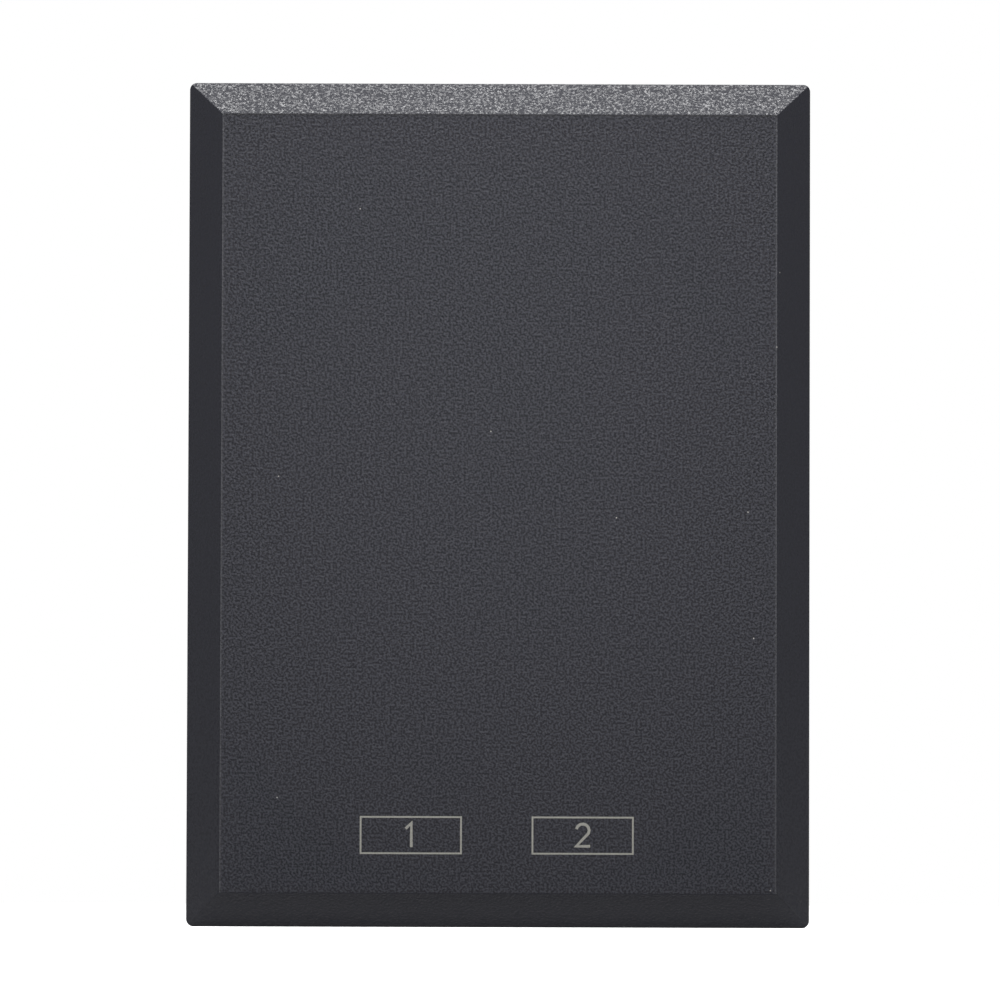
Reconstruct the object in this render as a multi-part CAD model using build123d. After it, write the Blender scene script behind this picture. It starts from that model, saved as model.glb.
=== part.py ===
from build123d import *
import os
from math import atan2, degrees, radians, sqrt, tan

# A garage door controller: a bevelled snap-fit case round a relay board.
#
# Everything is drawn with the case lying on its back: x runs across it, y runs up to
# its top edge and z runs from the back face, at zero, to the front face. A last turn
# stands it up: top edge up, front towards -Y, origin in the middle of the back face.
# All sizes are in millimetres.

# Case: outer size, wall and the bevel that runs round the back and the front
case_width = 60.0
case_height = 81.5
case_depth = 22.0
wall = 2.0
bevel_inset = 3.25
bevel_rise = 3.4
corner_radius = 0.7
crease_radius = 0.15
inner_corner_radius = 0.5
overrun = 1.0

# Seam: the front cover's tongue drops into a rebate in the back cover
tongue_thickness = 0.9
tongue_height = 1.5
tongue_gap = 0.1
seam_chamfer = 0.25
catch_height = 0.7
catch_reach = 0.35
catch_gap = 0.1
catch_flat_share = 0.3
side_catch_length = 12.0
side_catch_shares = (-0.6, 0.0, 0.6)
end_catch_length = 8.0
end_catch_shares = (-0.72, 0.72)

# Ribs and posts inside the covers
rib_thickness = 0.8
rib_height = 1.0
rib_shares = (-0.45, 0.45)
post_size = 4.0
support_thickness = 1.0
support_gap = 0.1
window_gap = 0.25

# Circuit board, carried on four bosses and held by four screws
board_gap = 0.5
board_standoff = 3.2
board_thickness = 1.6
board_corner = 1.0
hole_inset = 3.3
boss_diameter = 5.0
screw_head_diameter = 3.8
screw_head_height = 1.4
screw_length = 5.0
screw_core = 1.6
small_rod_sides = 12
screw_hole_gap = 0.25
pilot_gap = 0.05
pilot_end_gap = 0.4
pin_below_board = 1.4
pin_hole_gap = 0.15
part_gap = 1.2

# Push-in terminals: two blocks of two poles each, let into the bottom wall
terminal_spacing = 16.7
terminal_recess = 0.5
pole_pitch = 5.0
terminal_width = 10.0
terminal_height = 10.0
terminal_depth = 12.5
terminal_front_wall = 1.2
terminal_back_wall = 0.8
terminal_top_wall = 0.9
terminal_round = 0.3
chamber_width = 3.8
entry_width = 2.4
entry_height = 2.6
entry_flare = 0.3
entry_centre = 2.9
release_width = 2.6
release_height = 2.8
release_centre = 6.9
release_gap = 0.1
release_recess = 0.1
release_travel = 1.2
release_collar = 0.3
release_collar_length = 0.8
release_stop_length = 0.6
release_stop_gap = 0.05
release_groove = 0.5
release_groove_depth = 0.4
clamp_bar_height = 1.0
clamp_bar_thickness = 0.5
clamp_bar_start = 3.0
clamp_metal_width = 2.6
clamp_gap = 0.2
spring_thickness = 0.25
spring_bend = 0.6
spring_top_start = 6.0
spring_leg_end = 9.0
spring_leg_gap = 0.9
terminal_pin_width = 0.8

# Supply socket: a flat five-contact connector let into the top wall
socket_shell_width = 7.5
socket_shell_height = 2.6
socket_shell_depth = 5.5
socket_shell_metal = 0.25
socket_shell_cut = 0.9
socket_recess = 0.6
socket_lip = 0.3
socket_foot_reach = 0.7
socket_foot_length = 1.3
socket_foot_shares = (0.16, 0.62)
socket_block_depth = 1.6
socket_tongue_width = 3.6
socket_tongue_height = 0.6
socket_tongue_setback = 0.9
socket_contact_pitch = 0.65
socket_contact_width = 0.3
socket_contact_thickness = 0.1
socket_contact_tail = 0.9
socket_contact_steps = (-2, -1, 0, 1, 2)

# Pairing button in the front face, over its switch
button_below_centre = 13.0
button_diameter = 10.0
button_gap = 0.3
button_recess = 0.15
button_dish = 0.35
button_dish_share = 0.6
button_edge_bevel = 0.3
button_top_thickness = 1.5
button_skirt = 1.1
button_collar = 1.0
button_collar_thickness = 1.0
button_stop_gap = 0.05
button_stem_diameter = 4.0
button_travel = 0.25
guide_wall = 1.0
guide_spare = 2.9
hole_chamfer = 0.4

# Push switch under the button
switch_size = 6.0
switch_body_height = 3.2
switch_height = 5.0
switch_floor = 0.9
switch_well_diameter = 4.8
switch_cover_metal = 0.2
switch_cover_tab = 1.2
switch_cover_tab_width = 2.0
plunger_diameter = 3.4
plunger_collar = 0.4
plunger_gap = 0.1
dome_spare = 0.1
dome_metal = 0.12
dome_rim_gap = 0.2
dome_crown_share = 0.45
lead_metal = 0.2
lead_width = 0.7
lead_reach = 1.0
lead_rise = 0.9
switch_lead_spacing = 4.5

# Light guide and the light that feeds it
guide_above_centre = 2.0
light_guide_diameter = 3.0
light_guide_gap = 0.05
light_guide_collar = 0.8
light_guide_collar_thickness = 0.8
light_tube_wall = 1.4
light_tube_length = 5.0
light_gap = 0.4
light_length = 1.6
light_width = 0.8
light_base_height = 0.3
light_lens_height = 0.35
light_lens_share = 0.65

# Relay with its cover, coil, yoke, armature and contacts
relay_from_centre = 15.0
relay_terminal_gap = 6.0
relay_width = 10.5
relay_length = 15.5
relay_height = 11.8
relay_wall = 0.6
relay_corner_cut = 0.3
relay_fit_gap = 0.05
relay_base_thickness = 1.2
yoke_end_gap = 0.4
yoke_metal = 0.9
yoke_width = 5.0
bobbin_gap = 0.15
bobbin_height = 6.0
bobbin_flange = 8.0
bobbin_flange_thickness = 0.6
bobbin_barrel = 4.2
winding_diameter = 7.2
core_diameter = 2.6
core_fit_gap = 0.05
pole_diameter = 3.2
pole_thickness = 0.45
pole_gap = 0.4
pole_clearance = 0.02
armature_metal = 0.9
armature_width = 6.4
armature_overhang = 0.6
blade_metal = 0.15
blade_width = 2.4
blade_start = 2.0
blade_end_margin = 0.9
return_spring_metal = 0.1
return_spring_width = 4.0
return_spring_drop = 3.5
return_spring_lap = 1.6
contact_inset = 2.25
contact_diameter = 1.6
contact_button = 0.4
contact_head = 0.25
contact_clearance = 0.02
strip_metal = 0.3
strip_width = 2.4
strip_gap = 0.15
strip_side = 1.8
relay_pin_width = 0.8
relay_pin_metal = 0.5
coil_pin_metal = 0.6
coil_pin_inset = 0.5

# Radio module
module_length = 24.0
module_width = 16.0
module_thickness = 0.8
module_edge_gap = 0.6
module_from_top = 22.0
castellation_pitch = 2.0
castellation_diameter = 0.9
castellations = 8
castellation_sides = 8
shield_length = 15.0
shield_width = 12.2
shield_height = 2.2
shield_metal = 0.2
shield_round = 0.5
shield_inset = 1.0
radio_chip_size = 5.0
radio_chip_height = 0.85
crystal_length = 3.2
crystal_width = 2.5
crystal_height = 0.7

# Other board parts
capacitor_diameter = 6.3
capacitor_height = 7.0
capacitor_base_size = 6.6
capacitor_base_height = 0.8
capacitor_corner_cut = 1.2
capacitor_groove = 0.25
capacitor_groove_height = 1.6
capacitor_edge_bevel = 0.4
capacitor_from_centre = 11.0
capacitor_from_top = 12.5
regulator_length = 6.5
regulator_width = 3.5
regulator_height = 1.6
regulator_lead_pitch = 2.3
regulator_tab_width = 3.0
regulator_from_centre = 12.5
regulator_from_top = 8.5
optocoupler_length = 6.5
optocoupler_width = 4.6
optocoupler_height = 3.4
optocoupler_lead_pitch = 2.54
transistor_length = 2.9
transistor_width = 1.3
transistor_height = 1.0
transistor_lead_pitch = 1.9
transistor_lead_width = 0.4
diode_length = 4.3
diode_width = 2.6
diode_height = 2.2
small_lead_reach = 0.6
small_lead_rise = 0.5
body_taper_share = 0.08
chip_length = 2.0
chip_width = 1.25
chip_height = 0.55
chip_end_share = 0.2
chip_pitch = 2.2

# Levels and places that follow from the sizes above
half_width = case_width / 2
half_height = case_height / 2
inner_front = case_depth - wall
board_bottom = wall + board_standoff
board_top = board_bottom + board_thickness
seam = board_top + socket_shell_height / 2
board_width = case_width - 2 * (wall + board_gap)
board_height = case_height - 2 * (wall + board_gap)
hole_x = board_width / 2 - hole_inset
hole_y = board_height / 2 - hole_inset
pin_end = board_bottom - pin_below_board
terminal_front = terminal_recess - half_height
terminal_rear = terminal_front + terminal_depth
terminal_top = board_top + terminal_height
terminal_places = {"sensor": terminal_spacing / 2, "relay": -terminal_spacing / 2}
pole_offsets = {"left": -pole_pitch / 2, "right": pole_pitch / 2}
terminal_pin_y = terminal_front + (clamp_bar_start + spring_leg_end) / 2
button_y = -button_below_centre
button_outer = button_diameter / 2
button_hole = button_outer + button_gap
collar_outer = button_outer + button_collar
guide_length = button_collar_thickness + button_stop_gap + button_travel + guide_spare
switch_top = board_top + switch_height
dome_height = button_travel + dome_spare
light_top = board_top + light_base_height + light_lens_height
light_guide_end = light_top + light_gap
relay_x = -relay_from_centre
relay_y = terminal_rear + relay_terminal_gap + relay_length / 2
module_x = board_width / 2 - module_edge_gap - module_length / 2
module_y = board_height / 2 - module_from_top
module_top = board_top + module_thickness
shield_x = module_x - module_length / 2 + shield_inset + shield_length / 2

# Relay levels above the board, and places along its length from its middle
yoke_back = yoke_end_gap + relay_wall - relay_length / 2
hinge_y = yoke_back + yoke_metal
core_y = hinge_y + bobbin_gap + bobbin_flange / 2
contact_y = relay_length / 2 - contact_inset
strip_y = relay_length / 2 - relay_wall - strip_gap - strip_metal / 2
bobbin_bottom = relay_base_thickness + yoke_metal
bobbin_top = bobbin_bottom + bobbin_height
pole_top = bobbin_top + pole_thickness
hinge_level = pole_top + pole_gap
armature_top = hinge_level + armature_metal
blade_top = armature_top + blade_metal
pole_far_edge = core_y - hinge_y + pole_diameter / 2
armature_angle = degrees(atan2(pole_gap - pole_clearance, pole_far_edge))
contact_far_edge = contact_y - hinge_y + contact_diameter / 2
contact_opening = contact_far_edge * tan(radians(armature_angle)) + contact_clearance
open_contact_top = armature_top - contact_button - contact_opening
closed_contact_bottom = blade_top + contact_head


def block(x_span, y_span, z_span):
    """A box between two values on each axis."""
    spans = (x_span, y_span, z_span)
    middle = [(low + high) / 2 for low, high in spans]
    size = [high - low for low, high in spans]
    return Pos(*middle) * Box(*size)


def around(centre, size):
    """The two ends of a stretch of this size about a centre."""
    return (centre - size / 2, centre + size / 2)


def rod(x, y, z_low, z_high, diameter):
    """A round bar along z."""
    bar = Cylinder(diameter / 2, z_high - z_low, align=(Align.CENTER, Align.CENTER, Align.MIN))
    return Pos(x, y, z_low) * bar


def small_rod(x, y, z_low, z_high, diameter):
    """A rod or hole that is small and repeats, with flats in place of its curve."""
    flats = RegularPolygon(diameter / 2, small_rod_sides)
    return Pos(x, y, z_low) * extrude(flats, z_high - z_low)


def prism(width, height, radius, z_low, z_high):
    """A rounded rectangle about the middle of the case, carried along z."""
    return Pos(0, 0, z_low) * extrude(RectangleRounded(width, height, radius), z_high - z_low)


def bent_strip(points, metal, x_span, bend=0):
    """A sheet metal strip whose middle line, in y and z, is bent through the points."""
    line = FilletPolyline(*points, radius=bend) if bend else Polyline(*points)
    strip = extrude(trace(line, metal), x_span[1] - x_span[0])
    return Pos(x_span[0], 0, 0) * (Plane.YZ.location * strip)


def bevelled_block(width, height, z_back, z_front, inset, rise, radius):
    """A block with bevelled back and front edges and rounded upright corners."""
    body = block(around(0, width), around(0, height), (z_back, z_front))
    for end in (0, -1):
        face = body.faces().sort_by(Axis.Z)[end]
        body = chamfer(face.edges(), inset, rise, reference=face)
    return body & prism(width, height, radius, z_back, z_front)


def group(pieces):
    """Several separate solids that make one node."""
    return Compound([solid for piece in pieces for solid in piece.solids()])


def case_blocks():
    """The outside of the case and the space inside it, a wall's thickness apart all round."""
    slant = sqrt(bevel_inset**2 + bevel_rise**2)
    inner_inset = bevel_inset - wall + wall * (slant - bevel_inset) / bevel_rise
    inner_rise = bevel_rise - wall + wall * (slant - bevel_rise) / bevel_inset
    outside = bevelled_block(
        case_width, case_height, 0, case_depth, bevel_inset, bevel_rise, corner_radius
    )
    faces = outside.faces().sort_by(Axis.Z)
    outside = fillet(faces[0].edges() + faces[-1].edges(), crease_radius)
    inside = bevelled_block(
        case_width - 2 * wall,
        case_height - 2 * wall,
        wall,
        inner_front,
        inner_inset,
        inner_rise,
        inner_corner_radius,
    )
    return outside, inside


def catches(reach, height, out):
    """The ridges along the seam, or the grooves they snap into, standing out of a wall."""
    level = seam - tongue_height / 2
    flat = height * catch_flat_share
    outline = Polyline(
        (0, -height / 2), (reach, -flat / 2), (reach, flat / 2), (0, height / 2), close=True
    )
    spare = height - catch_height
    bars = []
    for length, shares, across, along, turn in (
        (side_catch_length, side_catch_shares, half_width, half_height, 0),
        (end_catch_length, end_catch_shares, half_height, half_width, 90),
    ):
        long_bar = length + spare
        bar = Pos(0, long_bar / 2, 0) * extrude(Plane.XZ * make_face(outline), long_bar)
        for side in (turn, turn + 180):
            for share in shares:
                place = Pos(across - wall + out, share * (along - wall), level)
                bars.append(Rot(0, 0, side) * place * bar)
    return group(bars)


def port_windows():
    """The cuts in the walls round the two terminals and the supply socket."""
    bottom = (-half_height - overrun, wall + overrun - half_height)
    top = (half_height - wall - overrun, half_height + overrun)
    cuts = [
        block(
            around(x, terminal_width + 2 * window_gap),
            bottom,
            (board_top - window_gap, terminal_top + window_gap),
        )
        for x in terminal_places.values()
    ]
    shell = socket_shell_width + 2 * (socket_lip + window_gap)
    lips = socket_lip + window_gap
    cuts.append(
        block(around(0, shell), top, (board_top - lips, board_top + socket_shell_height + lips))
    )
    return group(cuts)


def rib_grid(inside, z_span):
    """Low stiffening ribs across a cover, trimmed to the space inside the case."""
    ribs = [
        block(around(share * half_width, rib_thickness), (-half_height, half_height), z_span)
        for share in rib_shares
    ]
    ribs += [
        block((-half_width, half_width), around(share * half_height, rib_thickness), z_span)
        for share in rib_shares
    ]
    return Part() + ribs & inside


def boss_places():
    """The four screw places in the corners of the board."""
    return [(x, y) for x in (-hole_x, hole_x) for y in (-hole_y, hole_y)]


def make_back_cover(outside, inside, windows):
    cover = split(outside - inside, Plane.XY.offset(seam), keep=Keep.BOTTOM)
    rim = cover.faces().sort_by(Axis.Z)[-1]
    cover = chamfer(rim.outer_wire().edges(), seam_chamfer)
    rebate = tongue_thickness + tongue_gap
    cover -= prism(
        case_width - 2 * (wall - rebate),
        case_height - 2 * (wall - rebate),
        inner_corner_radius + rebate,
        seam - tongue_height - tongue_gap,
        seam + overrun,
    )
    reach = catch_reach - tongue_gap + catch_gap
    cover -= catches(reach, catch_height + 2 * catch_gap, rebate)
    cover += rib_grid(inside, (wall, wall + rib_height))
    for x, y in boss_places():
        cover += small_rod(x, y, wall, board_bottom, boss_diameter)
        gusset = boss_diameter + 2 * rib_thickness
        top = board_bottom - rib_height
        cover += block(around(x, gusset), around(y, rib_thickness), (wall, top)) & inside
        cover += block(around(x, rib_thickness), around(y, gusset), (wall, top)) & inside
    for x in terminal_places.values():
        for y in (terminal_front + wall + rib_thickness, terminal_rear - wall):
            span = around(x, terminal_width - 2 * terminal_back_wall)
            cover += block(span, around(y, support_thickness), (wall, board_bottom))
    for y in (button_y, half_height - socket_recess - socket_shell_depth):
        cover += block(around(0, post_size), around(y, support_thickness), (wall, board_bottom))
        cover += block(around(0, support_thickness), around(y, post_size), (wall, board_bottom))
    for x, y in boss_places():
        cover -= small_rod(
            x,
            y,
            board_top - screw_length - pilot_end_gap,
            board_bottom + overrun,
            screw_core + 2 * pilot_gap,
        )
    return cover - windows


def make_front_cover(outside, inside, windows):
    cover = split(outside - inside, Plane.XY.offset(seam), keep=Keep.TOP)
    rim = cover.faces().sort_by(Axis.Z)[0]
    cover = chamfer(rim.outer_wire().edges(), seam_chamfer)
    tongue_top = seam + seam_chamfer
    ring = prism(
        case_width - 2 * (wall - tongue_thickness),
        case_height - 2 * (wall - tongue_thickness),
        inner_corner_radius + tongue_thickness,
        seam - tongue_height,
        tongue_top,
    )
    ring -= prism(
        case_width - 2 * wall,
        case_height - 2 * wall,
        inner_corner_radius,
        seam - tongue_height,
        tongue_top,
    )
    cover += ring
    cover += catches(catch_reach, catch_height, tongue_thickness)
    cover += rib_grid(inside, (inner_front - rib_height, inner_front))
    guide_bore = 2 * (collar_outer + button_gap)
    guide_bottom = inner_front - guide_length
    cover += rod(0, button_y, guide_bottom, inner_front, guide_bore + 2 * guide_wall)
    cover -= rod(0, button_y, guide_bottom - overrun, inner_front, guide_bore)
    light_bore = light_guide_diameter + 2 * light_guide_gap
    light_tube = light_bore + 2 * light_tube_wall
    cover += rod(0, guide_above_centre, inner_front - light_tube_length, inner_front, light_tube)
    for x in terminal_places.values():
        for y in (terminal_front + wall + rib_thickness, terminal_rear - wall):
            span = around(x, terminal_width - 2 * terminal_back_wall)
            cover += block(
                span, around(y, support_thickness), (terminal_top + support_gap, inner_front)
            )
    through = (inner_front - light_tube_length - overrun, case_depth + overrun)
    cover -= rod(0, guide_above_centre, *through, light_bore)
    cover -= rod(0, button_y, inner_front - overrun, case_depth + overrun, 2 * button_hole)
    flare = Cone(
        button_hole,
        button_hole + hole_chamfer,
        hole_chamfer,
        align=(Align.CENTER, Align.CENTER, Align.MAX),
    )
    cover -= Pos(0, button_y, case_depth) * flare
    return cover - windows


def make_board(pin_slots):
    board = block(around(0, board_width), around(0, board_height), (board_bottom, board_top))
    board = chamfer(board.edges().filter_by(Axis.Z), board_corner)
    for x, y in boss_places():
        board -= small_rod(x, y, board_bottom, board_top, screw_core + 2 * screw_hole_gap)
    for x, y, width, metal in pin_slots:
        slot = (around(x, width + 2 * pin_hole_gap), around(y, metal + 2 * pin_hole_gap))
        board -= block(*slot, (board_bottom, board_top))
    return board


def make_screws():
    """Pan head screws, seated on the board."""
    screws = []
    for x, y in boss_places():
        head = rod(x, y, board_top, board_top + screw_head_height, screw_head_diameter)
        shank = small_rod(x, y, board_top - screw_length, board_top, screw_core)
        screws.append(head + shank)
    return group(screws)


def make_terminal(x):
    """A push-in terminal: its body, contacts, clamp springs and release buttons."""
    front = terminal_front
    chamber_top = terminal_top - terminal_top_wall
    body = block(around(x, terminal_width), (front, terminal_rear), (board_top, terminal_top))
    body = chamfer(body.edges().filter_by(Axis.Y).group_by(Axis.Z)[-1], terminal_round)
    contacts = []
    springs = {}
    buttons = {}
    for side, offset in pole_offsets.items():
        pole = x + offset
        metal = around(pole, clamp_metal_width)
        entry = board_top + entry_centre
        release = board_top + release_centre
        body -= block(
            around(pole, chamber_width),
            (front + terminal_front_wall, terminal_rear - terminal_back_wall),
            (board_top, chamber_top),
        )
        mouth = Rectangle(entry_width + 2 * entry_flare, entry_height + 2 * entry_flare)
        throat = Rectangle(entry_width, entry_height)
        funnel = loft(
            [
                Plane((pole, front, entry), x_dir=(1, 0, 0), z_dir=(0, 1, 0)) * mouth,
                Plane((pole, front + terminal_front_wall, entry), x_dir=(1, 0, 0), z_dir=(0, 1, 0))
                * throat,
            ],
            ruled=True,
        )
        body -= funnel
        body -= block(
            around(pole, release_width + 2 * release_gap),
            (front - overrun, front + terminal_front_wall),
            around(release, release_height + 2 * release_gap),
        )
        stop = front + terminal_front_wall + release_gap + release_collar_length
        stop += release_travel + release_stop_gap
        for edge in (-1, 1):
            inner = pole + edge * (release_width / 2 + release_gap)
            outer = pole + edge * chamber_width / 2
            body += block(
                sorted((inner, outer)),
                (stop, stop + release_stop_length),
                around(release, release_height),
            )
        contacts.append(make_clamp_contact(pole, metal))
        springs[side] = make_clamp_spring(metal, chamber_top)
        buttons[side] = make_release_button(pole, release)
    return body, group(contacts), springs, buttons


def make_clamp_contact(pole, metal):
    """The bar that the wire is pressed on, folded up at its end, with its solder pin."""
    bar = board_top + clamp_bar_height
    end = terminal_rear - terminal_back_wall - clamp_gap - clamp_bar_thickness / 2
    bar_line = (
        (terminal_front + clamp_bar_start, bar),
        (end, bar),
        (end, bar + clamp_bar_height),
    )
    contact = bent_strip(bar_line, clamp_bar_thickness, metal)
    contact += block(
        around(pole, terminal_pin_width),
        around(terminal_pin_y, clamp_bar_thickness),
        (pin_end, bar),
    )
    return contact


def make_clamp_spring(metal, chamber_top):
    """The leaf that loops over the chamber and comes down on the wire."""
    bar_top = board_top + clamp_bar_height + clamp_bar_thickness / 2
    back = terminal_rear - terminal_back_wall - clamp_gap - clamp_bar_thickness - clamp_gap
    top = chamber_top - clamp_gap
    line = (
        (back, bar_top + clamp_gap),
        (back, top),
        (terminal_front + spring_top_start, top),
        (terminal_front + spring_leg_end, bar_top + spring_leg_gap),
    )
    return bent_strip(line, spring_thickness, metal, spring_bend)


def make_release_button(pole, release):
    """The button over the wire entry, with its retaining collar and driver groove."""
    face = terminal_front + release_recess
    height = around(release, release_height)
    button = block(around(pole, release_width), (face, terminal_front + spring_top_start), height)
    collar_start = terminal_front + terminal_front_wall + release_gap
    button += block(
        around(pole, release_width + 2 * release_collar),
        (collar_start, collar_start + release_collar_length),
        around(release, release_height + 2 * release_collar),
    )
    button -= block(
        around(pole, release_width + overrun),
        (face - overrun, face + release_groove_depth),
        around(release, release_groove),
    )
    return button


def make_supply_socket():
    """The supply socket: a folded shell, an insulator with its tongue, and five contacts."""
    mouth = half_height - socket_recess
    rear = mouth - socket_shell_depth

    def shell_outline(step):
        """The shell's outline with its lower corners cut, drawn smaller by the step."""
        side = socket_shell_width / 2 - step
        cut = socket_shell_cut - step * (2 - sqrt(2))
        low = step
        high = socket_shell_height - step
        return make_face(
            Polyline(
                (-side, high),
                (side, high),
                (side, low + cut),
                (side - cut, low),
                (cut - side, low),
                (-side, low + cut),
                close=True,
            )
        )

    def along(y, outline):
        """Stand an outline on the board across the socket at this y."""
        return Plane((0, y, board_top), x_dir=(1, 0, 0), z_dir=(0, -1, 0)) * outline

    shell = extrude(along(mouth, shell_outline(0)), socket_shell_depth)
    shell -= extrude(along(mouth, shell_outline(socket_shell_metal)), socket_shell_depth)
    lip_depth = socket_lip + socket_shell_metal
    lip = loft(
        [along(mouth, shell_outline(-socket_lip)), along(mouth - lip_depth, shell_outline(0))],
        ruled=True,
    )
    lip -= loft(
        [
            along(mouth, shell_outline(socket_shell_metal - socket_lip)),
            along(mouth - lip_depth, shell_outline(socket_shell_metal)),
        ],
        ruled=True,
    )
    shell += lip
    board_edge = board_height / 2
    for share in socket_foot_shares:
        start = rear + share * (board_edge - rear)
        for side in (-1, 1):
            inner = side * (socket_shell_width / 2 - socket_shell_metal)
            outer = side * (socket_shell_width / 2 + socket_foot_reach)
            foot = block(
                sorted((inner, outer)),
                (start, start + socket_foot_length),
                (board_top, board_top + socket_shell_metal),
            )
            upright = block(
                sorted((inner, side * socket_shell_width / 2)),
                (start, start + socket_foot_length),
                (board_top, board_top + socket_shell_cut + socket_shell_metal),
            )
            shell += foot + upright
    inner_outline = shell_outline(socket_shell_metal)
    insulator = extrude(along(rear + socket_block_depth, inner_outline), socket_block_depth)
    tongue_z = board_top + socket_shell_height / 2
    insulator += block(
        around(0, socket_tongue_width),
        (rear, mouth - socket_tongue_setback),
        (tongue_z, tongue_z + socket_tongue_height),
    )
    contacts = []
    for step in socket_contact_steps:
        x = step * socket_contact_pitch
        line_z = tongue_z - socket_contact_thickness / 2
        foot_z = board_top + socket_contact_thickness / 2
        line = (
            (mouth - 2 * socket_tongue_setback, line_z),
            (rear - socket_contact_tail / 2, line_z),
            (rear - socket_contact_tail / 2, foot_z),
            (rear - socket_contact_tail, foot_z),
        )
        contacts.append(bent_strip(line, socket_contact_thickness, around(x, socket_contact_width)))
    contacts = group(contacts)
    return shell, insulator - contacts, contacts


def make_button():
    """The pairing button: a dished cap with a skirt, a retaining collar and a stem."""
    top = case_depth - button_recess
    collar_top = inner_front - button_stop_gap
    collar_bottom = collar_top - button_collar_thickness
    inner = button_outer - button_skirt
    under = top - button_top_thickness
    stem = button_stem_diameter / 2
    edge = button_outer - button_edge_bevel
    floor = top - button_dish
    outline = Line((0, switch_top), (stem, switch_top))
    outline += Line((stem, switch_top), (stem, under))
    outline += Line((stem, under), (inner, under))
    outline += Line((inner, under), (inner, collar_bottom))
    outline += Line((inner, collar_bottom), (collar_outer, collar_bottom))
    outline += Line((collar_outer, collar_bottom), (collar_outer, collar_top))
    outline += Line((collar_outer, collar_top), (button_outer, collar_top))
    outline += Line((button_outer, collar_top), (button_outer, top - button_edge_bevel))
    outline += Line((button_outer, top - button_edge_bevel), (edge, top))
    outline += Line((edge, top), (edge * button_dish_share, floor))
    outline += Line((edge * button_dish_share, floor), (0, floor))
    outline += Line((0, floor), (0, switch_top))
    button = revolve(Plane.XZ * make_face(outline), Axis.Z)
    return Pos(0, button_y, 0) * button


def make_switch():
    """A push switch: base, metal cover, plunger, snap dome and four leads."""
    at = Pos(0, button_y, board_top)
    side = around(0, switch_size)
    base = block(side, side, (0, switch_body_height))
    base -= rod(0, 0, switch_floor, switch_body_height, switch_well_diameter)
    cover_top = switch_body_height + switch_cover_metal
    cover = block(side, side, (switch_body_height, cover_top))
    cover -= rod(0, 0, switch_body_height, cover_top, plunger_diameter + 2 * plunger_gap)
    for y in (-switch_size / 2 - switch_cover_metal, switch_size / 2):
        cover += block(
            around(0, switch_cover_tab_width),
            (y, y + switch_cover_metal),
            (switch_body_height - switch_cover_tab, cover_top),
        )
    dome_rim = switch_well_diameter / 2 - dome_rim_gap
    dome_crown = dome_rim * dome_crown_share
    dome_top = switch_floor + dome_height
    dome_line = Polyline(
        (0, dome_top),
        (dome_crown, dome_top),
        (dome_rim, switch_floor),
        (dome_rim, switch_floor + dome_metal),
        (dome_crown, dome_top + dome_metal),
        (0, dome_top + dome_metal),
        close=True,
    )
    dome = revolve(Plane.XZ * make_face(dome_line), Axis.Z)
    plunger_bottom = switch_floor + dome_height + dome_metal
    collar_top = switch_body_height - plunger_gap
    plunger = rod(0, 0, plunger_bottom, switch_height, plunger_diameter)
    plunger += rod(0, 0, plunger_bottom, collar_top, plunger_diameter + 2 * plunger_collar)
    leads = []
    for turn in (0, 180):
        for y in (-switch_lead_spacing / 2, switch_lead_spacing / 2):
            lead = gull_wing(switch_size / 2, y, lead_width, lead_reach, lead_rise)
            leads.append(Rot(0, 0, turn) * lead)
    return at * base, at * cover, at * plunger, at * dome, at * group(leads)


def gull_wing(out, along, width, reach, rise):
    """A flat lead that leaves a body at x = out, drops to the board and turns outwards."""
    line = (
        (out, rise),
        (out + reach / 2, rise),
        (out + reach / 2, lead_metal / 2),
        (out + reach, lead_metal / 2),
    )
    strip = extrude(trace(Polyline(*line), lead_metal), width)
    return Pos(0, along + width / 2, 0) * (Plane.XZ.location * strip)


def make_light_guide():
    """A clear rod from the light to the front face, with a collar under its tube."""
    guide = rod(0, guide_above_centre, light_guide_end, case_depth, light_guide_diameter)
    collar_top = inner_front - light_tube_length
    collar = light_guide_diameter + 2 * light_guide_collar
    return guide + rod(
        0, guide_above_centre, collar_top - light_guide_collar_thickness, collar_top, collar
    )


def make_light():
    """The light under the guide: a small base with a narrower clear top."""
    at = Pos(0, guide_above_centre, board_top)
    base = block(around(0, light_length), around(0, light_width), (0, light_base_height))
    lens = block(
        around(0, light_length * light_lens_share),
        around(0, light_width),
        (light_base_height, light_base_height + light_lens_height),
    )
    return at * (base + lens)


def relay_pin_places():
    """Where the relay's pins pass its base: strip pins, the yoke pin and two coil pins."""
    coil_x = bobbin_flange / 2 - coil_pin_inset
    coil_y = core_y + bobbin_flange / 2 - coil_pin_inset
    return {
        "open": (strip_side, strip_y, relay_pin_width, strip_metal),
        "closed": (-strip_side, strip_y, relay_pin_width, strip_metal),
        "yoke": (0, hinge_y, relay_pin_width, relay_pin_metal),
        "coil_left": (-coil_x, coil_y, coil_pin_metal, coil_pin_metal),
        "coil_right": (coil_x, coil_y, coil_pin_metal, coil_pin_metal),
    }


def relay_pin(name, top):
    """One relay pin, from this level down through its base and the board."""
    x, y, width, metal = relay_pin_places()[name]
    return block(around(x, width), around(y, metal), (pin_end - board_top, top))


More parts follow.
